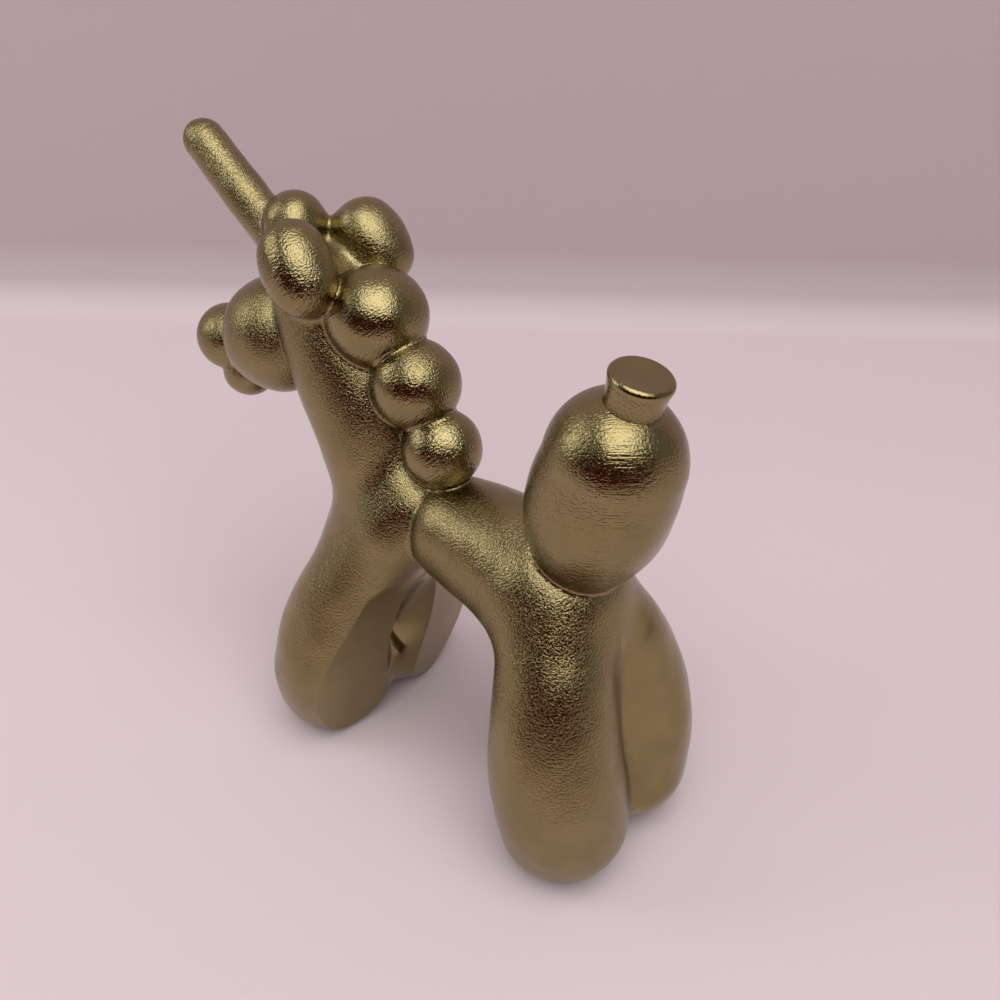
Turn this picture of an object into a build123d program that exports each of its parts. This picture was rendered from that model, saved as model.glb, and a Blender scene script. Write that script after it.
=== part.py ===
from build123d import *
from math import asin, cos, degrees, radians, sin, sqrt
import os

# A unicorn twisted out of balloon bubbles, cast in metal. It stands on four bulbs and faces -Y.
# Each bubble is a casting of its own. It is scooped to sit on the larger bubble that carries it,
# and a round peg on it is brazed into a blind socket there.

# Joints between the castings
joint_clearance = 0.08
peg_radius = 2.6
peg_depth = 6.0
small_peg_radius = 1.3
small_peg_depth = 3.6
peg_side_fit = 0.06
peg_end_fit = 0.3

# Body: the level bubble between the two pairs of legs
body_length = 53.6
body_radius = 14.6
body_height = 68.1
body_droop_angle = 4.3
body_end_shares = (0.66, 0.825)
body_side_shares = ((0.22, 0.91), (0.36, 0.98), (0.56, 1.0), (0.74, 0.91))

# Neck: a long bubble that rises ahead of the body and bows back towards it, and swells at the
# withers, where the body butts against it
neck_radius = 14.0
neck_length = 56.4
neck_lean_angle = 14.9
neck_bow = 6.5
neck_setback = 17.0
neck_drop = 7.6
withers_radius = 11.5
withers_gap = 2.2
withers_lift = 1.0
# Each row gives rise, backward bow and thickness
neck_shares = (
    (0.0, 0.0, 0.84),
    (0.22, 0.77, 0.87),
    (0.52, 1.0, 1.0),
    (0.81, 0.37, 0.96),
    (1.0, 0.0, 0.88),
)

# Legs: pears on bent centre lines
front_foot_radius = 14.9
front_foot_spread = 26.8
front_foot_lead = 17.2
front_leg_top_spread = 13.6
front_leg_top_gap = 5.9
front_leg_top_drop = 4.4
front_leg_bow = 4.6
# Each row gives rise, outward bow, backward bow and thickness
front_leg_shares = (
    (0.0, 0.0, 0.0, 1.0),
    (0.27, 1.0, -0.26, 0.965),
    (0.56, 0.72, -0.72, 0.89),
    (0.81, 0.18, -0.61, 0.79),
    (1.0, 0.0, 0.0, 0.63),
)
hind_foot_radius = 15.25
hind_foot_spread = 25.8
hind_foot_lead = 14.6
hind_leg_top_spread = 8.8
hind_leg_top_inset = 14.8
hind_leg_top_drop = 4.7
hind_leg_bow = 4.8
hind_leg_shares = (
    (0.0, 0.0, 0.0, 1.0),
    (0.30, 0.83, 0.54, 1.01),
    (0.60, 1.0, 0.88, 0.92),
    (0.84, 0.54, 0.75, 0.845),
    (1.0, 0.0, 0.0, 0.80),
)
hip_share = 0.72
foot_flat_share = 0.04

# Head and its two-lobed muzzle, both pointing forward and down
head_radius = 14.4
head_fall_angle = 8.0
head_bite_share = 0.80
nose_radius = 8.6
nose_fall_angle = 18.3
chin_radius = 6.8
chin_fall_angle = 45.8
muzzle_bite_share = 0.945

# Mane: three balls down the back of the neck
upper_mane_radius = 11.7
middle_mane_radius = 10.4
lower_mane_radius = 9.45
upper_mane_rise_angle = 43.0
upper_mane_bite_share = 0.64
middle_mane_fall_angle = 48.5
lower_mane_fall_angle = 61.0
mane_bite_share = 0.79

# Ears, forelock ball and horn on the crown of the neck
ear_length = 21.6
ear_radius = 8.3
ear_splay_angle = 42.0
ear_setback_angle = 22.6
ear_nod_angle = 37.0
ear_tuck_angle = 9.0
ear_bite_share = 0.84
ear_end_shares = (0.93, 0.93)
ear_side_shares = ((0.5, 1.0),)
forelock_radius = 7.2
forelock_nod_angle = 28.0
forelock_bite_share = 0.955
forelock_peg_share = 0.35
horn_reach = 53.6
horn_rise_angle = 37.5
horn_base_radius = 5.6
horn_tip_radius = 5.0
horn_root_share = 0.8

# Tail: an egg with its wide end up, closed by the balloon's knot
tail_length = 50.8
tail_radius = 15.5
tail_lean_angle = 13.0
tail_place_share = 0.80
tail_lift_share = 0.145
tail_end_shares = (0.52, 0.955)
tail_side_shares = ((0.2, 0.745), (0.32, 0.91), (0.46, 1.0), (0.6, 0.995))
knot_radius = 6.75
knot_height = 8.9
knot_sink = 3.0
knot_lip = 2.4
knot_foot_share = 0.92
knot_waist_share = 0.895
knot_dish_share = 0.3

# Turns away from the way the figure faces, and how far a dome reaches round
upright_angle = 90.0
backward_angle = 180.0
dome_angle = 60.0


def heading(rise, side=0.0):
    """Direction that rises so many degrees from straight ahead (-Y) and swings out to the side."""
    flat = cos(radians(side))
    return Vector(sin(radians(side)), -flat * cos(radians(rise)), flat * sin(radians(rise)))


def turned(start, direction, profile):
    """Solid of revolution from a closed half profile drawn as (radius, distance along the axis)."""
    across = (Vector(1, 0, 0) - direction * direction.X).normalized()
    face = Plane(start, x_dir=across, z_dir=across.cross(direction)) * profile
    return revolve(face, axis=Axis(start, direction))


def egg(start, direction, length, radius, end_shares, side_shares, grow=0.0):
    """Straight bubble turned from its outline: a round dome at each end and a smooth side."""
    root, tip = (radius * share for share in end_shares)
    root_far, tip_far = root + grow, tip + grow
    lean, rise = sin(radians(dome_angle)), cos(radians(dome_angle))
    half = radians(dome_angle / 2)
    foot, head = (0, root - root_far), (0, length - tip + tip_far)
    root_rim = (root_far * lean, root - root_far * rise)
    root_mid = (root_far * sin(half), root - root_far * cos(half))
    tip_rim = (tip_far * lean, length - tip + tip_far * rise)
    tip_mid = (tip_far * sin(half), length - tip + tip_far * cos(half))
    sides = [(radius * r + grow, length * s) for s, r in side_shares]
    skin = ThreePointArc(foot, root_mid, root_rim)
    skin += Spline(root_rim, *sides, tip_rim, tangents=((rise, lean), (-rise, lean)))
    skin += ThreePointArc(tip_rim, tip_mid, head)
    return turned(start, direction, make_face(skin + Line(head, foot)))


def ball(center, radius, grow=0.0):
    return Pos(center) * Sphere(radius + grow)


def limb(centers, radii, grow=0.0):
    """Bubble on a bent centre line: round sections lofted between two domed ends."""
    path = Spline(*centers)
    last = len(centers) - 1
    sections = []
    skin = []
    for i, (center, radius) in enumerate(zip(centers, radii)):
        before, after = max(i - 1, 0), min(i + 1, last)
        slope = (radii[after] - radii[before]) / (centers[after] - centers[before]).length
        along = path.tangent_at(path.param_at_point(center))
        place = Plane(center, x_dir=Vector(1, 0, 0), z_dir=along)
        full = radius + grow
        sections.append(place * Pos(0, 0, -full * slope) * Circle(full * sqrt(1 - slope * slope)))
        if i in (0, last):
            rim_angle = degrees(asin(-slope))
            low_angle, high_angle = (-90, rim_angle) if i == 0 else (rim_angle, 90)
            dome = place * Sphere(full, arc_size1=low_angle, arc_size2=high_angle, align=None)
            skin += dome.faces().filter_by(GeomType.SPHERE)
    skin += loft(sections).faces().filter_by(GeomType.BSPLINE)
    return Part() + Solid(Shell(skin))


def rod(start, end, radius):
    """Round bar between two points."""
    return extrude(Plane(start, z_dir=end - start) * Circle(radius), (end - start).length)


def short_of(start, end, distance):
    """Point on the way from start to end, so far before the end."""
    return end - (end - start).normalized() * distance


def leg_line(foot, top, bow, leg_shares):
    """Centres of a leg's sections, bowed off the straight line from its foot to its top."""
    lean = top - foot
    return [foot + lean * s + Vector(bow * out, bow * aft, 0) for s, out, aft, r in leg_shares]


# Centre lines, with the middle of the body over the origin
body_axis = heading(backward_angle + body_droop_angle)
body_front = Vector(0, 0, body_height) - body_axis * (body_length / 2)
hip = body_front + body_axis * (body_length * hip_share)

neck_base = Vector(0, body_front.Y - neck_setback, body_height - neck_drop)
neck_line = heading(upright_angle - neck_lean_angle) * neck_length
neck_centers = [neck_base + neck_line * s + Vector(0, neck_bow * b, 0) for s, b, r in neck_shares]
neck_radii = [neck_radius * r for s, b, r in neck_shares]
nape, nape_radius = neck_centers[2], neck_radii[2]
poll, poll_radius = neck_centers[3], neck_radii[3]
crown, crown_radius = neck_centers[4], neck_radii[4]
withers = body_front + Vector(0, -withers_gap, withers_lift)

front_top_y = body_front.Y - front_leg_top_gap
front_foot_z = front_foot_radius * (1 - foot_flat_share)
front_top = Vector(front_leg_top_spread / 2, front_top_y, body_height - front_leg_top_drop)
front_foot = Vector(front_foot_spread / 2, front_top_y - front_foot_lead, front_foot_z)
front_centers = leg_line(front_foot, front_top, front_leg_bow, front_leg_shares)
front_radii = [front_foot_radius * r for s, out, aft, r in front_leg_shares]

hind_top_y = body_length / 2 - hind_leg_top_inset
hind_foot_z = hind_foot_radius * (1 - foot_flat_share)
hind_top = Vector(hind_leg_top_spread / 2, hind_top_y, body_height - hind_leg_top_drop)
hind_foot = Vector(hind_foot_spread / 2, hind_top_y + hind_foot_lead, hind_foot_z)
hind_centers = leg_line(hind_foot, hind_top, hind_leg_bow, hind_leg_shares)
hind_radii = [hind_foot_radius * r for s, out, aft, r in hind_leg_shares]

head_step = (poll_radius + head_radius) * head_bite_share
nose_step = (head_radius + nose_radius) * muzzle_bite_share
chin_step = (head_radius + chin_radius) * muzzle_bite_share
head_center = poll + heading(-head_fall_angle) * head_step
nose_center = head_center + heading(-nose_fall_angle) * nose_step
chin_center = head_center + heading(-chin_fall_angle) * chin_step

upper_mane_step = (poll_radius + upper_mane_radius) * upper_mane_bite_share
middle_mane_step = (upper_mane_radius + middle_mane_radius) * mane_bite_share
lower_mane_step = (middle_mane_radius + lower_mane_radius) * mane_bite_share
upper_mane = poll + heading(backward_angle - upper_mane_rise_angle) * upper_mane_step
middle_mane = upper_mane + heading(backward_angle + middle_mane_fall_angle) * middle_mane_step
lower_mane = middle_mane + heading(backward_angle + lower_mane_fall_angle) * lower_mane_step

ear_step = (crown_radius + ear_radius) * ear_bite_share
forelock_step = (crown_radius + forelock_radius) * forelock_bite_share
ear_center = crown + heading(upright_angle + ear_setback_angle, ear_splay_angle) * ear_step
ear_axis = heading(upright_angle - ear_nod_angle, -ear_tuck_angle)
forelock = crown + heading(upright_angle - forelock_nod_angle) * forelock_step
horn_axis = heading(horn_rise_angle)
horn_root = crown + horn_axis * (crown_radius * horn_root_share)

tail_lift = Vector(0, 0, body_radius * tail_lift_share)
tail_foot = body_front + body_axis * (body_length * tail_place_share) + tail_lift
tail_axis = heading(upright_angle + tail_lean_angle)
knot_foot = tail_foot + tail_axis * (tail_length - knot_sink)


# Bubbles that other castings are scooped to fit, each also made larger by a clearance
def body_bubble(grow=0.0):
    shares = (body_end_shares, body_side_shares)
    return egg(body_front, body_axis, body_length, body_radius, *shares, grow)


def neck_bubble(grow=0.0):
    """Neck with its withers, whose own seam is turned to the side to keep off the neck's."""
    swelling = Pos(withers) * Rot(0, 0, upright_angle) * Sphere(withers_radius + grow)
    return limb(neck_centers, neck_radii, grow) + swelling


def hind_leg_bubble(grow=0.0):
    return limb(hind_centers, hind_radii, grow)


def tail_egg(grow=0.0):
    shares = (tail_end_shares, tail_side_shares)
    return egg(tail_foot, tail_axis, tail_length, tail_radius, *shares, grow)


def horn_taper():
    """Tapered bar with a round tip."""
    straight = horn_reach - horn_tip_radius - crown_radius * horn_root_share
    corners = ((0, 0), (horn_base_radius, 0), (horn_tip_radius, straight), (0, straight))
    bar = turned(horn_root, horn_axis, make_face(Polyline(*corners, close=True)))
    return bar + ball(horn_root + horn_axis * straight, horn_tip_radius)


def knot_stub():
    """Knot of the balloon: a waisted stub under a rolled lip with a dished top."""
    foot_radius, waist = knot_radius * knot_foot_share, knot_radius * knot_waist_share
    lip_radius = knot_lip / 2
    ring = knot_radius - lip_radius
    lip_height = knot_height - lip_radius
    under = knot_height - knot_lip
    outline = Line((0, 0), (foot_radius, 0))
    outline += ThreePointArc((foot_radius, 0), (waist, under / 2), (ring, under))
    outline += ThreePointArc((ring, under), (knot_radius, lip_height), (ring, knot_height))
    dish = (0, knot_height - knot_lip * knot_dish_share)
    outline += Spline((ring, knot_height), dish, tangents=((-1, 0), (-1, 0)))
    return turned(knot_foot, tail_axis, make_face(outline + Line(dish, (0, 0))))


span = body_length + neck_length + body_height
below_floor = Pos(0, 0, -span / 2) * Box(span * 2, span * 2, span)
past_middle = Pos(joint_clearance / 2 - span, 0, 0) * Box(span * 2, span * 2, span * 4)

neck_room = neck_bubble(joint_clearance)
body_room = body_bubble(joint_clearance)
upper_mane_room = ball(upper_mane, upper_mane_radius, joint_clearance)
middle_mane_room = ball(middle_mane, middle_mane_radius, joint_clearance)

parts = {}
parts["neck"] = neck_bubble()
parts["body"] = body_bubble() - neck_room
front_leg = limb(front_centers, front_radii) - below_floor - past_middle
parts["left_front_leg"] = front_leg - neck_room - body_room
parts["left_hind_leg"] = hind_leg_bubble() - below_floor - past_middle - body_room
parts["head"] = ball(head_center, head_radius) - neck_room
muzzle = ball(nose_center, nose_radius) + ball(chin_center, chin_radius)
parts["muzzle"] = muzzle - ball(head_center, head_radius, joint_clearance)
parts["mane_ball_upper"] = ball(upper_mane, upper_mane_radius) - neck_room
parts["mane_ball_middle"] = ball(middle_mane, middle_mane_radius) - neck_room - upper_mane_room
lower_mane_ball = ball(lower_mane, lower_mane_radius) - neck_room
parts["mane_ball_lower"] = lower_mane_ball - middle_mane_room - body_room
ear_start = ear_center - ear_axis * (ear_length / 2)
ear = egg(ear_start, ear_axis, ear_length, ear_radius, ear_end_shares, ear_side_shares)
parts["left_ear"] = ear - neck_room - upper_mane_room
parts["forelock_ball"] = ball(forelock, forelock_radius) - neck_room
parts["horn"] = horn_taper() - neck_room - ball(forelock, forelock_radius, joint_clearance)
hind_leg_room = hind_leg_bubble(joint_clearance)
tail = tail_egg() - body_room - hind_leg_room
parts["tail_bubble"] = tail - mirror(hind_leg_room, about=Plane.YZ)
parts["tail_knot"] = knot_stub() - tail_egg(joint_clearance)


def braze(child, host, start, end, radius):
    """Peg on the child and its blind socket in the host, which is mirrored for a left piece."""
    far_end = end + (end - start).normalized() * peg_end_fit
    socket = rod(start, far_end, radius + peg_side_fit)
    parts[child] += rod(start, end, radius)
    parts[host] -= socket
    if child.startswith("left_"):
        parts[host] -= mirror(socket, about=Plane.YZ)


body_peg_start = withers + body_axis * (withers_radius + peg_depth)
body_peg_end = withers + body_axis * (withers_radius - peg_depth)
braze("body", "neck", body_peg_start, body_peg_end, peg_radius)
front_peg_start = front_centers[2]
front_peg_end = short_of(front_peg_start, neck_base, neck_radii[0] - peg_depth)
braze("left_front_leg", "neck", front_peg_start, front_peg_end, peg_radius)
hind_peg_start = hind_centers[2]
hind_peg_end = short_of(hind_peg_start, hip, body_radius - peg_depth)
braze("left_hind_leg", "body", hind_peg_start, hind_peg_end, peg_radius)
braze("head", "neck", head_center, short_of(head_center, poll, poll_radius - peg_depth), peg_radius)
muzzle_peg_end = short_of(nose_center, head_center, head_radius - small_peg_depth)
braze("muzzle", "head", nose_center, muzzle_peg_end, small_peg_radius)
upper_peg_end = short_of(upper_mane, poll, poll_radius - small_peg_depth)
braze("mane_ball_upper", "neck", upper_mane, upper_peg_end, small_peg_radius)
middle_peg_end = short_of(middle_mane, poll, poll_radius - small_peg_depth)
braze("mane_ball_middle", "neck", middle_mane, middle_peg_end, small_peg_radius)
lower_peg_end = short_of(lower_mane, nape, nape_radius - small_peg_depth)
braze("mane_ball_lower", "neck", lower_mane, lower_peg_end, small_peg_radius)
ear_peg_end = short_of(ear_center, crown, crown_radius - small_peg_depth)
braze("left_ear", "neck", ear_center, ear_peg_end, small_peg_radius)
forelock_aim = crown + Vector(0, crown_radius * forelock_peg_share, 0)
forelock_peg_end = short_of(forelock, forelock_aim, crown_radius - small_peg_depth)
braze("forelock_ball", "neck", forelock, forelock_peg_end, small_peg_radius)
horn_peg_end = crown + horn_axis * (crown_radius - small_peg_depth)
braze("horn", "neck", horn_root + horn_axis * small_peg_depth, horn_peg_end, small_peg_radius)
braze("tail_bubble", "body", tail_foot + tail_axis * tail_radius, tail_foot, peg_radius)
knot_peg_start = knot_foot + tail_axis * (knot_height / 2)
knot_peg_end = knot_foot - tail_axis * small_peg_depth
braze("tail_knot", "tail_bubble", knot_peg_start, knot_peg_end, small_peg_radius)

for name in ("front_leg", "hind_leg", "ear"):
    parts["right_" + name] = mirror(parts["left_" + name], about=Plane.YZ)

# The origin is on the floor, under the middle of the figure's length
boxes = [solid.bounding_box() for solid in parts.values()]
front_end, back_end = min(box.min.Y for box in boxes), max(box.max.Y for box in boxes)
to_origin = Pos(0, -(front_end + back_end) / 2, 0)

os.makedirs("parts", exist_ok=True)
for name, solid in parts.items():
    export_step(to_origin * solid, f"parts/{name}.step")
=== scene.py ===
import bpy
import bmesh
import math
import numpy
from mathutils import Matrix, Vector


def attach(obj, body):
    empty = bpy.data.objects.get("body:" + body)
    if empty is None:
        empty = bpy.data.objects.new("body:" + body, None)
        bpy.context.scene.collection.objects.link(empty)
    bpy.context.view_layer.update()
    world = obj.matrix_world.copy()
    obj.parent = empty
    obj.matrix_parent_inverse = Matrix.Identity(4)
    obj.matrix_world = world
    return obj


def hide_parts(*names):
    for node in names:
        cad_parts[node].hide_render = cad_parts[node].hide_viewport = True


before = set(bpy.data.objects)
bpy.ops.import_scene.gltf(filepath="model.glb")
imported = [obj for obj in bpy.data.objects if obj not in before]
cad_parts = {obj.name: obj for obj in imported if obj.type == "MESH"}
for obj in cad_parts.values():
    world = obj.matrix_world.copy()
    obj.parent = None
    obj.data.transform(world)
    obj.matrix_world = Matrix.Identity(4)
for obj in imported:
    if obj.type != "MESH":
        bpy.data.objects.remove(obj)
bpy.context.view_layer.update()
print("frame loaded with", len(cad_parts), "castings")

mm = 0.001  # sizes below are in millimetres, and each mesh is scaled to metres at its end
tiny = 1e-4  # mm below which two points count as one
guard = 1e-9  # keeps a division safe

camera = {
    "place": (161.30, 155.74, 214.49),
    "turn": 128.7,  # degrees round the upright
    "fall": 32.62,  # degrees below level
    "roll": 1.35,
    "lens": 39.6,
    "sensor": 36.0,
    "near": 10.0,
}
cameraData = bpy.data.cameras.new("camera")
cameraData.lens = camera["lens"]
cameraData.sensor_width = camera["sensor"]
cameraData.clip_start = camera["near"] * mm
cameraObject = bpy.data.objects.new("camera", cameraData)
bpy.context.scene.collection.objects.link(cameraObject)
cameraObject.matrix_world = (
    Matrix.Translation(Vector(camera["place"]) * mm)
    @ Matrix.Rotation(math.radians(camera["turn"]), 4, "Z")
    @ Matrix.Rotation(math.radians(90 - camera["fall"]), 4, "X")
    @ Matrix.Rotation(math.radians(camera["roll"]), 4, "Z")
)
bpy.context.scene.camera = cameraObject
print("camera set")

# each casting is one or two balloon bubbles, and each row of a bubble is a ball: x, y, z and radius
neck = {
    "node": "neck",
    "lobes": {
        "neck": [
            (0, -12.47, 60.5, 11.76),
            (0, -10.66, 72.49, 12.18),
            (0, -13.51, 88.84, 14.0),
            (0, -21.81, 104.65, 13.44),
            (0, -26.97, 115.0, 12.32),
        ],
        "withers": [(0, 2.33, 71.11, 11.5)],
    },
}
body = {
    "node": "body",
    "lobes": {
        "body": [
            (0, 16.09, 69.24, 13.087),
            (0, 23.54, 68.68, 14.132),
            (0, 31.0, 68.12, 14.698),
            (0, 38.45, 67.56, 14.166),
            (0, 45.91, 67.0, 12.103),
        ],
    },
}
frontLeg = {
    "node": "front_leg",
    "lobes": {
        "frontLeg": [
            (13.4, -18.57, 14.3, 14.9),
            (16.22, -15.12, 27.64, 14.38),
            (13.02, -12.25, 41.97, 13.26),
            (8.88, -7.44, 54.31, 11.77),
            (6.8, -1.37, 63.7, 9.39),
        ],
    },
    # the smooth face on its back: a point of it, the way it faces, its top and how softly it ends there
    "flat": {"place": (17.0, -2.6, 37.0), "way": (0.17, 0.96, -0.22), "top": 54.0, "fade": 7.0},
}
hindLeg = {
    "node": "hind_leg",
    "lobes": {
        "hindLeg": [
            (12.9, 57.85, 14.64, 15.25),
            (14.33, 56.07, 29.27, 15.4),
            (12.6, 53.32, 43.9, 14.03),
            (8.35, 49.19, 55.6, 12.89),
            (4.4, 43.25, 63.4, 12.2),
        ],
    },
    "flat": {"place": (8.76, 68.28, 37.5), "way": (-0.573, 0.802, 0.169), "top": 58.0, "fade": 7.0},
}
head = {"node": "head", "lobes": {"head": [(0, -43.87, 101.55, 14.4)]}}
muzzle = {
    "node": "muzzle",
    "lobes": {"nose": [(0, -64.50, 94.72, 8.6)], "chin": [(0, -57.83, 87.19, 6.8)]},
}
upperMane = {"node": "mane_ball_upper", "lobes": {"upperMane": [(0, -10.05, 115.62, 11.7)]}}
middleMane = {"node": "mane_ball_middle", "lobes": {"middleMane": [(0, 1.52, 102.55, 10.4)]}}
lowerMane = {"node": "mane_ball_lower", "lobes": {"lowerMane": [(0, 9.13, 88.83, 9.45)]}}
ear = {
    "node": "ear",
    "lobes": {
        "ear": [
            (12.07, -20.22, 124.48, 7.75),
            (11.59, -22.03, 126.89, 8.32),
            (11.11, -23.84, 129.29, 7.75),
        ],
    },
}
forelock = {"node": "forelock_ball", "lobes": {"forelock": [(0, -35.72, 131.46, 7.2)]}}
horn = {"node": "horn", "lobes": {"horn": [(0, -34.79, 121.0, 5.6), (0, -65.53, 144.59, 5.0)]}}
tail = {
    "node": "tail_bubble",
    "lobes": {
        "tail": [
            (0, 49.08, 76.75, 7.95),
            (0, 50.65, 83.56, 12.17),
            (0, 52.22, 90.36, 15.14),
            (0, 53.79, 97.17, 15.54),
            (0, 55.36, 103.97, 14.9),
        ],
    },
}


def onSide(piece, side):
    # the left or the right one of a pair
    sign = 1 if side == "left" else -1
    made = {**piece, "node": side + "_" + piece["node"]}
    made["lobes"] = {
        side + name[0].upper() + name[1:]: [(x * sign, y, z, radius) for x, y, z, radius in rows]
        for name, rows in piece["lobes"].items()
    }
    if "flat" in piece:
        turned = {key: (piece["flat"][key][0] * sign,) + piece["flat"][key][1:] for key in ("place", "way")}
        made["flat"] = {**piece["flat"], **turned}
    return made


castings = {
    "neckCasting": neck,
    "bodyCasting": body,
    "leftFrontLegCasting": onSide(frontLeg, "left"),
    "rightFrontLegCasting": onSide(frontLeg, "right"),
    "leftHindLegCasting": {**onSide(hindLeg, "left"), "flat": None},  # round all the way
    "rightHindLegCasting": onSide(hindLeg, "right"),
    "headCasting": head,
    "muzzleCasting": muzzle,
    "upperManeCasting": upperMane,
    "middleManeCasting": middleMane,
    "lowerManeCasting": lowerMane,
    "leftEarCasting": onSide(ear, "left"),
    "rightEarCasting": onSide(ear, "right"),
    "forelockCasting": forelock,
    "hornCasting": horn,
    "tailCasting": tail,
}
bubbles = {name: rows for piece in castings.values() for name, rows in piece["lobes"].items()}

# what runs into what, over how many mm, and the name of the result
softJoins = [
    ("neck", "withers", 8.0, "stem"),
    ("leftFrontLeg", "rightFrontLeg", 10.0, "frontLegs"),
    ("stem", "frontLegs", 9.0, "fore"),
    ("leftHindLeg", "rightHindLeg", 7.0, "hindLegs"),
    ("body", "hindLegs", 9.0, "aft"),
    ("aft", "tail", 1.2, "rear"),
    ("fore", "rear", 1.0, "trunk"),
    ("nose", "chin", 1.0, "snout"),
    ("snout", "head", 1.0, "face"),
    ("leftEar", "rightEar", 6.0, "ears"),
    ("ears", "forelock", 4.5, "tuft"),
    ("tuft", "horn", 1.5, "crown"),
    ("upperMane", "middleMane", 1.2, "twoManes"),
    ("twoManes", "lowerMane", 1.2, "manes"),
    ("trunk", "crown", 4.0, "most"),
    ("most", "face", 1.2, "more"),
    ("more", "manes", 1.2, "all"),
]

# how far in mm a bubble's skin may be pushed out into its soft corners
farthestPush = {name: 1.5 for name in bubbles}
farthestPush.update({"leftEar": 6.0, "rightEar": 6.0, "forelock": 4.5})
farthestPush.update({name: 9.0 for name in bubbles if "Leg" in name or name in ("neck", "withers", "body")})

skin = {
    "lineSteps": 400,  # points along a bubble's middle line when it is made
    "ballSteps": 60,  # and when the distance to it is measured
    "neighbourGap": 14.0,  # bubbles farther apart than this don't meet
    "outOfReach": 90.0,  # the distance that they are given instead
    "probe": 0.02,  # half the step that finds which way the skin faces
    "rounds": 8,
    "ease": 0.9,  # share of what is left that each round closes
    "deepest": -0.5,  # the farthest that a round may draw the skin inwards
    "buriedShare": 0.8,  # of the farthest push: skin buried deeper than that is left as it is
    "buriedMargin": 2.0,
    "sinkFrom": 0.5,  # inside a neighbour by more than this, the skin sinks again
    "sinkShare": 0.6,
}
around, rings, ballSplits = ((132, 164, 6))


def runAlong(lobe, steps):
    # one polynomial through all the rows keeps the long reflections fair
    rows = numpy.array(lobe, float)
    if len(rows) == 1:
        return rows, numpy.array([[0.0, 0.0, 1.0, 0.0]]), numpy.zeros(1)
    gaps = numpy.linalg.norm(numpy.diff(rows[:, :3], axis=0), axis=1)
    share = numpy.append(0, numpy.cumsum(gaps)) / gaps.sum()
    at = numpy.linspace(0, 1, steps)
    curves = [numpy.polyfit(share, rows[:, i], len(rows) - 1) for i in range(4)]
    line = numpy.stack([numpy.polyval(c, at) for c in curves], 1)
    slope = numpy.stack([numpy.polyval(numpy.polyder(c), at) for c in curves], 1)
    slope /= numpy.linalg.norm(slope[:, :3], axis=1)[:, None]
    strides = numpy.linalg.norm(numpy.diff(line[:, :3], axis=0), axis=1)
    return line, slope, numpy.append(0, numpy.cumsum(strides))


def distanceTo(points, lobe):
    # signed distance to the bubble, with the nearest ball found between the sampled ones
    line = runAlong(lobe, skin["ballSteps"])[0]
    gap = numpy.stack([numpy.linalg.norm(points - row[:3], axis=1) - row[3] for row in line])
    if len(line) == 1:
        return gap[0]
    nearest = gap.argmin(0)
    middle = numpy.clip(nearest, 1, len(line) - 2)
    pick = numpy.arange(len(points))
    before, here, after = gap[middle - 1, pick], gap[middle, pick], gap[middle + 1, pick]
    bend = numpy.maximum(before - 2 * here + after, guard)
    between = here - (before - after) ** 2 / (8 * bend)
    return numpy.where(nearest == middle, between, gap[nearest, pick])


def boxOf(names):
    rows = numpy.concatenate([bubbles[name] for name in names])
    return (rows[:, :3] - rows[:, 3:]).min(0), (rows[:, :3] + rows[:, 3:]).max(0)


def castSurface(points, own):
    # distance to the whole soft casting, and how far each point lies inside its neighbours
    low, high = boxOf(own)
    field = {}
    for name, rows in bubbles.items():
        near, far = boxOf([name])
        apart = numpy.maximum(near - high, low - far).max()
        meets = apart < skin["neighbourGap"]
        field[name] = distanceTo(points, rows) if meets else numpy.full(len(points), skin["outOfReach"])
    others = numpy.min([field[name] for name in bubbles if name not in own], 0)
    depth = numpy.min([field[name] for name in own], 0) - others
    for first, second, width, result in softJoins:
        a, b = field[first], field[second]
        share = numpy.clip(1 - numpy.abs(a - b) / width, 0, 1)
        field[result] = numpy.minimum(a, b) - share ** 2 * width / 4
    return field["all"], depth


lumps = {"count": 14, "shortest": 7.0, "longest": 22.0, "height": 0.10}
dice = numpy.random.default_rng(7)
lumpWays = dice.normal(size=(lumps["count"], 3))
lumpWays /= numpy.linalg.norm(lumpWays, axis=1)[:, None]
lumpLengths = numpy.geomspace(lumps["shortest"], lumps["longest"], lumps["count"])
lumpStarts = dice.uniform(0, 2 * math.pi, lumps["count"])


def handLumps(points):
    # slow unevenness of a hand-finished casting
    waves = numpy.sin(points @ (lumpWays * (2 * math.pi / lumpLengths)[:, None]).T + lumpStarts)
    return (waves * lumpLengths / lumps["longest"]).sum(1) * lumps["height"] / math.sqrt(lumps["count"]) * 2


def lumpySurface(points, own):
    return castSurface(points, own)[0] - handLumps(points)


def slopeOf(points, own):
    # which way the finished skin faces
    step = skin["probe"]
    rise = numpy.stack(
        [lumpySurface(points + axis * step, own) - lumpySurface(points - axis * step, own) for axis in numpy.eye(3)], 1
    )
    return rise / numpy.maximum(numpy.linalg.norm(rise, axis=1), guard)[:, None]


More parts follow.
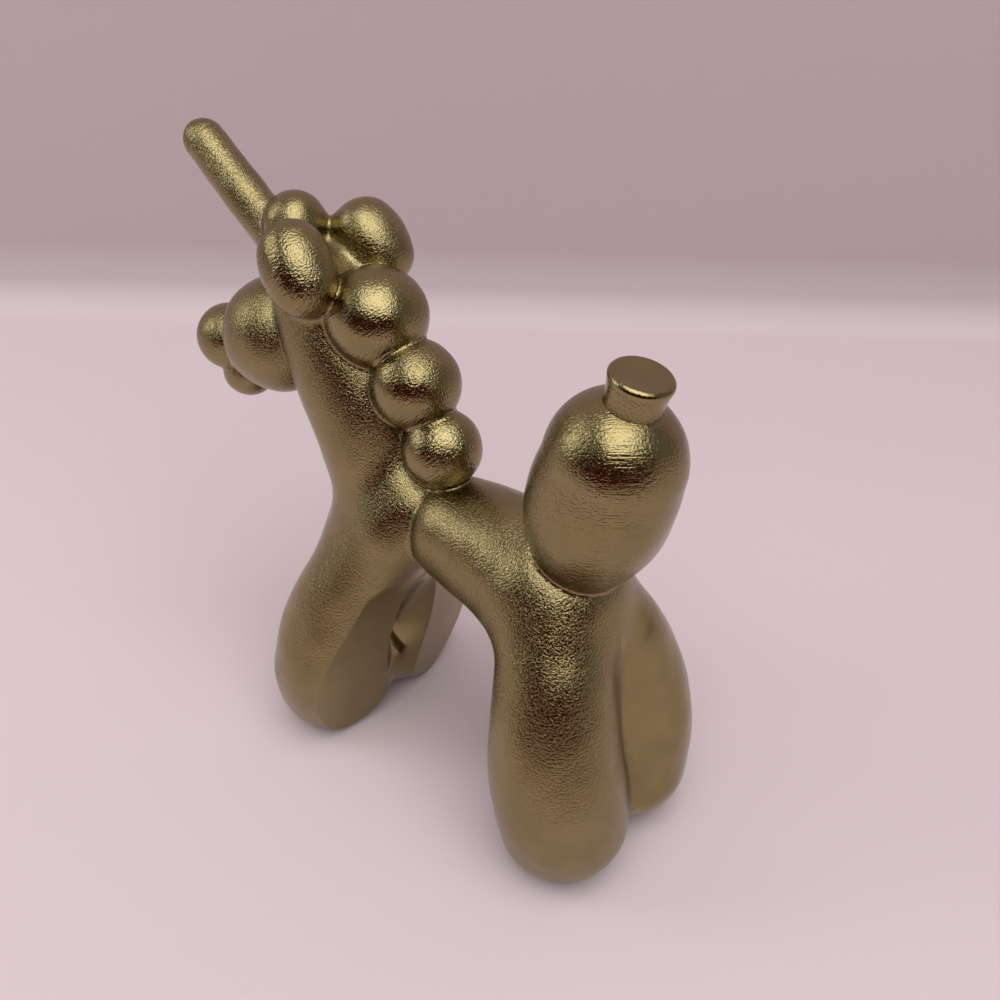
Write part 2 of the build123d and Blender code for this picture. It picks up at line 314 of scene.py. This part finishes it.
def addBubble(bm, lobe):
    # a ball where the bubble has one row, and else a sphere drawn out along its middle line
    line, slope, run = runAlong(lobe, skin["lineSteps"])
    if len(line) == 1:
        made = bmesh.ops.create_icosphere(bm, subdivisions=ballSplits, radius=line[0][3])["verts"]
        bmesh.ops.translate(bm, verts=made, vec=Vector(line[0][:3]))
        return
    made = bmesh.ops.create_uvsphere(bm, u_segments=around, v_segments=rings, radius=1)["verts"]
    co = numpy.array([v.co for v in made])
    down = numpy.arccos(numpy.clip(-co[:, 2], -1, 1)) / math.pi
    turn = numpy.arctan2(co[:, 1], co[:, 0])
    startArc = math.acos(slope[0][3])
    endArc = math.acos(-slope[-1][3])
    startRun, endRun = line[0][3] * startArc, line[-1][3] * endArc
    reach = down * (startRun + run[-1] + endRun)
    at = numpy.clip(reach - startRun, 0, run[-1])
    ball = numpy.stack([numpy.interp(at, run, line[:, i]) for i in range(4)], 1)
    way = numpy.stack([numpy.interp(at, run, slope[:, i]) for i in range(4)], 1)
    lean = numpy.arccos(numpy.clip(way[:, 3], -1, 1))
    lean = numpy.where(reach < startRun, reach / line[0][3], lean)
    past = (reach - startRun - run[-1]) / line[-1][3]
    lean = numpy.where(past > 0, math.pi - endArc + past, lean)
    across = numpy.array([1.0, 0, 0]) - way[:, :1] * way[:, :3]
    across /= numpy.linalg.norm(across, axis=1)[:, None]
    up = numpy.cross(way[:, :3], across)
    side = across * numpy.cos(turn)[:, None] + up * numpy.sin(turn)[:, None]
    out = side * numpy.sin(lean)[:, None] - way[:, :3] * numpy.cos(lean)[:, None]
    for v, p in zip(made, ball[:, :3] + out * ball[:, 3:]):
        v.co = p


def settle(bm, own):
    # pushes the casting's skin out into the soft corners, and lets it sink again inside its neighbours
    bm.normal_update()
    verts = list(bm.verts)
    start = numpy.array([v.co for v in verts])
    out = numpy.array([v.normal for v in verts])
    first, depth = castSurface(start, [own])
    free = numpy.clip(first + skin["buriedShare"] * farthestPush[own] + skin["buriedMargin"], 0, 1)
    work = (numpy.abs(first) > tiny) & (free > 0)
    move = numpy.zeros(len(verts))
    for step in range(skin["rounds"]):
        field, depth[work] = castSurface(start[work] + out[work] * move[work, None], [own])
        move[work] = numpy.clip(move[work] - field * skin["ease"], skin["deepest"], farthestPush[own])
    sink = numpy.clip(depth - skin["sinkFrom"], 0, None) * skin["sinkShare"]
    move = numpy.where(depth > 0, numpy.maximum(move - sink, 0), move) * free
    place = start + out * move[:, None]
    place += out * handLumps(place)[:, None]
    for v, p in zip(verts, place):
        v.co = p


legBack = {
    "finishSlot": 0,
    "flatSlot": 1,  # the face that is pressed flat
    "innerSlot": 2,  # the smooth skin round it
    "inward": -0.3,  # how far a face must turn inwards and backwards to be smooth
    "backward": 0.15,
    "crisp": 1e-3,  # mm above the flat that still counts as on it
    "soleCorners": 8,  # a face with more corners is the sole
}


def smoothInnerBack(bm, inwardSign):
    # the skin stays smooth where a leg turns in and back, out of the brush's reach
    for f in bm.faces:
        smooth = f.normal.x * inwardSign > legBack["inward"] and f.normal.y > legBack["backward"]
        f.material_index = legBack["innerSlot"] if smooth else legBack["finishSlot"]


def heightShare(z, flat):
    # a leg's flat fades out where the leg swells into the body
    return min(max((flat["top"] - z) / flat["fade"], 0), 1)


def pressFlat(bm, flat):
    # brings what lies outside a plane down onto it, with a crisp edge
    place, way = Vector(flat["place"]), Vector(flat["way"]).normalized()
    everything = list(bm.verts) + list(bm.edges) + list(bm.faces)
    bmesh.ops.bisect_plane(bm, geom=everything, dist=tiny, plane_co=place, plane_no=way)
    for f in bm.faces:
        middle = f.calc_center_median()
        if (middle - place).dot(way) > 0 and middle.z < flat["top"]:
            f.material_index = legBack["flatSlot"]
    for v in bm.verts:
        high = (v.co - place).dot(way)
        if high > legBack["crisp"]:
            v.co -= way * high * heightShare(v.co.z, flat)


def cutFoot(bm):
    # a flat sole on the floor
    everything = list(bm.verts) + list(bm.edges) + list(bm.faces)
    cut = bmesh.ops.bisect_plane(
        bm, geom=everything, dist=tiny, plane_co=(0, 0, 0), plane_no=(0, 0, -1), clear_outer=True
    )
    rim = [e for e in cut["geom_cut"] if isinstance(e, bmesh.types.BMEdge)]
    for f in bmesh.ops.edgeloop_fill(bm, edges=rim)["faces"]:
        f.normal_update()
        if f.normal.z > 0:
            f.normal_flip()


def faceSkin(piece, own, flat):
    # shades every shell as one skin, so that no seam shows where the metal runs on
    mesh = piece.data
    points = numpy.array([v.co for v in mesh.vertices]) / mm
    facing = [Vector(n) for n in slopeOf(points, own)]
    pressed = facing
    if flat:
        way = Vector(flat["way"]).normalized()
        pressed = [f.lerp(way, heightShare(p[2], flat)).normalized() for f, p in zip(facing, points)]
    normals = []
    for f in mesh.polygons:
        if len(f.vertices) > legBack["soleCorners"]:
            normals += [f.normal] * len(f.vertices)
        else:
            chosen = pressed if f.material_index == legBack["flatSlot"] else facing
            normals += [chosen[v] for v in f.vertices]
    mesh.normals_split_custom_set(normals)


def addObject(bm, name, finishes):
    bmesh.ops.scale(bm, vec=(mm, mm, mm), verts=bm.verts)
    mesh = bpy.data.meshes.new(name)
    bm.to_mesh(mesh)
    bm.free()
    for finish in finishes:
        mesh.materials.append(finish)
    made = bpy.data.objects.new(name, mesh)
    bpy.context.scene.collection.objects.link(made)
    return made


def addCasting(bm, name, node, finishes):
    piece = addObject(bm, name, finishes)
    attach(piece, "root")
    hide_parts(node)
    return piece


def hexColour(text):
    parts = [int(text[i:i + 2], 16) / 255 for i in (0, 2, 4)]
    return tuple(c / 12.92 if c <= 0.04045 else ((c + 0.055) / 1.055) ** 2.4 for c in parts) + (1.0,)


def addNode(tree, kind, settings, links):
    node = tree.nodes.new(kind)
    for key, value in settings.items():
        if isinstance(key, int) or key in node.inputs:
            node.inputs[key].default_value = value
        else:
            setattr(node, key, value)
    for socket, source in links.items():
        tree.links.new(source, node.inputs[socket])
    return node


def emptyMaterial(name):
    material = bpy.data.materials.new(name)
    material.use_nodes = True
    material.node_tree.nodes.clear()
    return material


gold = {
    "light": "998B63",
    "deep": "82754F",
    "cloud": 9.0,  # mm across a patch of lighter or deeper lacquer
    "patch": 16.0,  # mm across a patch that was brushed more or less
    "roughness": (0.12, 0.18),
    "grain": 0.5,  # mm across a wrinkle: the real ones are finer, and this is as fine as shows
    "grainDepth": 0.2,
    "brushWidth": 0.26,  # mm across a brush mark, drawn wide enough to show
    "brushLength": 6.0,
    "brushDepth": 0.22,
}


def goldFinish(name, brushWay=(0.1, 0.75, 0.66), brushShare=0.15, grainShare=1.0):
    # sand-cast aluminium under champagne-gold lacquer: it gives the eye a warm, wrinkled satin that
    # mirrors the room in soft patches, with fine lines where the wire brush reached it
    material = emptyMaterial(name)
    tree = material.node_tree
    place = addNode(tree, "ShaderNodeTexCoord", {}, {}).outputs["Object"]
    clouds = addNode(
        tree, "ShaderNodeTexNoise", {"Scale": 1 / (gold["cloud"] * mm), "Detail": 3.0}, {"Vector": place}
    )
    colour = addNode(
        tree,
        "ShaderNodeMix",
        {"data_type": "RGBA", 6: hexColour(gold["light"]), 7: hexColour(gold["deep"])},
        {0: clouds.outputs["Fac"]},
    )
    wrinkles = addNode(
        tree,
        "ShaderNodeTexNoise",
        {"Scale": 1 / (gold["grain"] * mm), "Detail": 2.0, "Roughness": 0.6, "Distortion": 0.6},
        {"Vector": place},
    )
    width, length = gold["brushWidth"] * mm, gold["brushLength"] * mm
    turn = Vector((0, 0, 1)).rotation_difference(Vector(brushWay)).to_euler()
    along = addNode(
        tree,
        "ShaderNodeMapping",
        {"vector_type": "TEXTURE", "Rotation": turn, "Scale": (width, width, length)},
        {"Vector": place},
    )
    brush = addNode(tree, "ShaderNodeTexNoise", {"Scale": 0.6, "Detail": 1.0}, {"Vector": along.outputs["Vector"]})
    patches = addNode(
        tree, "ShaderNodeTexNoise", {"Scale": 1 / (gold["patch"] * mm), "Detail": 1.0}, {"Vector": place}
    )
    reach = addNode(
        tree,
        "ShaderNodeMapRange",
        {"From Min": 0.4, "From Max": 0.6, "To Min": brushShare * 0.6, "To Max": brushShare},
        {"Value": patches.outputs["Fac"]},
    )
    wear = addNode(
        tree,
        "ShaderNodeMapRange",
        {"From Min": 0.3, "From Max": 0.7, "To Min": grainShare * 0.85, "To Max": grainShare},
        {"Value": patches.outputs["Fac"]},
    )
    shine = addNode(
        tree,
        "ShaderNodeMapRange",
        {"From Min": 0.35, "From Max": 0.65, "To Min": gold["roughness"][0], "To Max": gold["roughness"][1]},
        {"Value": clouds.outputs["Fac"]},
    )
    grainBump = addNode(
        tree,
        "ShaderNodeBump",
        {"Distance": gold["grainDepth"] * mm},
        {"Strength": wear.outputs["Result"], "Height": wrinkles.outputs["Fac"]},
    )
    brushBump = addNode(
        tree,
        "ShaderNodeBump",
        {"Distance": gold["brushDepth"] * mm},
        {
            "Strength": reach.outputs["Result"],
            "Height": brush.outputs["Fac"],
            "Normal": grainBump.outputs["Normal"],
        },
    )
    shader = addNode(
        tree,
        "ShaderNodeBsdfPrincipled",
        {"Metallic": 1.0},
        {
            "Base Color": colour.outputs[2],
            "Roughness": shine.outputs["Result"],
            "Normal": brushBump.outputs["Normal"],
        },
    )
    addNode(tree, "ShaderNodeOutputMaterial", {}, {"Surface": shader.outputs["BSDF"]})
    return material


slant = (-0.02, 0.72, 0.69)  # the way the brush ran over the mane and the near ear
# the way of the brush on a casting, and how strong its marks are there
brushed = {
    "upperManeCasting": (slant, 1.0),
    "middleManeCasting": (slant, 1.0),
    "lowerManeCasting": ((-0.15, 0.8, 0.58), 1.0),
    "leftEarCasting": (slant, 1.0),
    "rightEarCasting": (slant, 0.2),
    "forelockCasting": (slant, 0.4),
    "tailCasting": ((-0.62, 0.78, 0.0), 0.7),
    "bodyCasting": (slant, 0.4),
}
brushWears = 0.6  # share of the wrinkles that full brushing takes away
knotGold = goldFinish("smoothKnotLacqueredAluminium", brushShare=0.0, grainShare=0.4)
plainGold = goldFinish("lacqueredCastAluminium")
smoothGold = goldFinish("smoothLacqueredCastAluminium", brushShare=0.0, grainShare=0.08)


def finishFor(name):
    if name not in brushed:
        return plainGold
    way, share = brushed[name]
    return goldFinish("brushedCastAluminium_" + name, way, share, 1.0 - brushWears * share)


print("materials made")

for name, piece in castings.items():
    bm = bmesh.new()
    flat = piece.get("flat")
    for lobe, rows in piece["lobes"].items():
        shell = bmesh.new()
        addBubble(shell, rows)
        if shell.calc_volume(signed=True) < 0:
            bmesh.ops.reverse_faces(shell, faces=shell.faces)
        settle(shell, lobe)
        shell.normal_update()
        if flat:
            smoothInnerBack(shell, -1 if "left" in name else 1)
            pressFlat(shell, flat)
        if "Leg" in name:
            cutFoot(shell)
        for f in shell.faces:
            f.smooth = True
        joined = bpy.data.meshes.new("shell")
        shell.to_mesh(joined)
        shell.free()
        bm.from_mesh(joined)
        bpy.data.meshes.remove(joined)
    casting = addCasting(bm, name, piece["node"], [finishFor(name), smoothGold, smoothGold])
    faceSkin(casting, list(piece["lobes"]), flat)
    print("cast", name)

knot = {
    "foot": (0, 58.04, 115.59),
    "lean": 13.0,  # degrees backwards
    "radius": 6.75,
    "height": 8.9,
    "root": -1.5,  # its underside, inside the tail
    "rim": 1.2,  # radius of the rounded lip
    "rimSteps": 10,
    "side": [(0.91, 0.0), (0.905, 0.3), (0.93, 0.6), (0.975, 0.78)],  # shares of radius and height
    "top": [(0.7, 0.1), (0.4, 0.25), (0.0, 0.3)],  # share of radius, and mm sunk
}
bm = bmesh.new()
wide, high, rim = knot["radius"], knot["height"], knot["rim"]
profile = [(0.0, knot["root"]), (wide * 0.93, knot["root"])]
profile += [(wide * r, high * z) for r, z in knot["side"]]
for i in range(knot["rimSteps"] + 1):
    a = math.radians(90 * i / knot["rimSteps"])
    profile.append((wide - rim + rim * math.cos(a), high - rim + rim * math.sin(a)))
profile += [(wide * r, high - sunk) for r, sunk in knot["top"]]
points = [bm.verts.new((r, 0, z)) for r, z in profile]
edges = [bm.edges.new(pair) for pair in zip(points, points[1:])]
bmesh.ops.spin(
    bm, geom=points + edges, cent=(0, 0, 0), axis=(0, 0, 1), steps=128, angle=2 * math.pi, use_merge=True
)
bmesh.ops.remove_doubles(bm, verts=bm.verts, dist=tiny)
leanBack = Matrix.Rotation(-math.radians(knot["lean"]), 3, "X")
bmesh.ops.rotate(bm, verts=bm.verts, cent=(0, 0, 0), matrix=leanBack)
bmesh.ops.translate(bm, verts=bm.verts, vec=knot["foot"])
bmesh.ops.recalc_face_normals(bm, faces=bm.faces)
for f in bm.faces:
    f.smooth = True
addCasting(bm, "tailKnotCasting", "tail_knot", [knotGold])
print("cast tailKnotCasting")

turn = math.radians(camera["turn"])
ahead = Vector((-math.sin(turn), math.cos(turn), 0))  # away from the camera, level
aside = Vector((math.cos(turn), math.sin(turn), 0))  # to the camera's right
upright = Vector((0, 0, 1))


def mattPaper(name, sheet):
    # matt paper: flat and even, with one tone at its foot and another where it has risen; on the sweep the darker
    # risen tone is painted shade
    paper = emptyMaterial(name)
    tree = paper.node_tree
    place = addNode(tree, "ShaderNodeTexCoord", {}, {})
    height = addNode(tree, "ShaderNodeSeparateXYZ", {}, {0: place.outputs["Object"]})
    rise = addNode(
        tree,
        "ShaderNodeMapRange",
        {"From Min": sheet["low"] * mm, "From Max": sheet["high"] * mm},
        {"Value": height.outputs["Z"]},
    )
    tone = addNode(
        tree,
        "ShaderNodeMix",
        {"data_type": "RGBA", 6: hexColour(sheet["footTone"]), 7: hexColour(sheet["topTone"])},
        {0: rise.outputs["Result"]},
    )
    shader = addNode(
        tree,
        "ShaderNodeBsdfPrincipled",
        {"Roughness": 0.9, "Specular IOR Level": sheet["gloss"]},
        {"Base Color": tone.outputs[2]},
    )
    addNode(tree, "ShaderNodeOutputMaterial", {}, {"Surface": shader.outputs["BSDF"]})
    return paper


sweep = {
    "footTone": "DCCCD0",
    # painted shade: the risen wall is the same paper as the floor, drawn in this darker tone because less light
    # reaches it
    "topTone": "BBABAD",
    "low": 0.0,
    "high": 12.0,
    "gloss": 0.2,
    "foldAt": 514.0,  # mm from under the camera to the foot of the wall
    "foldRadius": 30.0,
    "foldSteps": 24,
    "reach": 2500.0,  # mm that the paper runs on, each way
}
foot = Vector((camera["place"][0], camera["place"][1], 0)) + ahead * sweep["foldAt"]
leftEdge = foot - aside * sweep["reach"]
bm = bmesh.new()
line = [bm.verts.new(leftEdge - ahead * sweep["reach"])]
for i in range(sweep["foldSteps"] + 1):
    a = math.radians(90 * i / sweep["foldSteps"])
    bend = ahead * (math.sin(a) - 1) + upright * (1 - math.cos(a))
    line.append(bm.verts.new(leftEdge + bend * sweep["foldRadius"]))
line.append(bm.verts.new(leftEdge + upright * sweep["reach"]))
edges = [bm.edges.new(pair) for pair in zip(line, line[1:])]
made = bmesh.ops.extrude_edge_only(bm, edges=edges)["geom"]
farVerts = [g for g in made if isinstance(g, bmesh.types.BMVert)]
bmesh.ops.translate(bm, verts=farVerts, vec=aside * 2 * sweep["reach"])
bmesh.ops.recalc_face_normals(bm, faces=bm.faces)
for f in bm.faces:
    f.smooth = True
addObject(bm, "paperSweep", [mattPaper("palePaperSweepWithPaintedWallShade", sweep)])

room = {"tone": "C2BFBE", "strength": 0.47}
world = bpy.data.worlds.new("room")
world.use_nodes = True
world.node_tree.nodes["Background"].inputs["Color"].default_value = hexColour(room["tone"])
world.node_tree.nodes["Background"].inputs["Strength"].default_value = room["strength"]
bpy.context.scene.world = world

# the way from the figure to each light is: towards the camera, to its right, up
softBoxes = {
    "overhead": {"way": (0.5, 0.1, 0.86), "distance": 1400, "size": (1400, 1550), "watts": 19.0},
    "leftWindow": {"way": (0.0, -0.84, 0.5), "distance": 900, "size": (320, 500), "watts": 1.3},
}
figureMiddle = Vector((0, 0, 80))
for name, box in softBoxes.items():
    lampData = bpy.data.lights.new(name, "AREA")
    lampData.shape = "RECTANGLE"
    lampData.size, lampData.size_y = box["size"][0] * mm, box["size"][1] * mm
    lampData.energy = box["watts"]
    lamp = bpy.data.objects.new(name, lampData)
    bpy.context.scene.collection.objects.link(lamp)
    near, right, up = box["way"]
    out = (aside * right - ahead * near + upright * up).normalized()
    place = Matrix.Translation((figureMiddle + out * box["distance"]) * mm)
    lamp.matrix_world = place @ out.to_track_quat("Z", "Y").to_matrix().to_4x4()

darkCard = {
    "footTone": "78281A",
    "topTone": "2A140E",
    "low": 1,
    "high": 350,
    "gloss": 0.1,
    "distance": 340,
    "width": 1200,
    "aside": -80,
}
cardPlace = aside * darkCard["aside"] - ahead * darkCard["distance"]
corners = [(-1, "low"), (1, "low"), (1, "high"), (-1, "high")]
bm = bmesh.new()
bm.faces.new(
    [
        bm.verts.new(cardPlace + aside * side * darkCard["width"] / 2 + upright * darkCard[edge])
        for side, edge in corners
    ]
)
card = addObject(bm, "brownRedCard", [mattPaper("brownRedCard", darkCard)])
card.visible_camera = False  # it is seen only in the metal
card.visible_diffuse = False
card.visible_shadow = False
card.visible_transmission = False
print("studio set")

bpy.context.scene.view_settings.view_transform = "Standard"
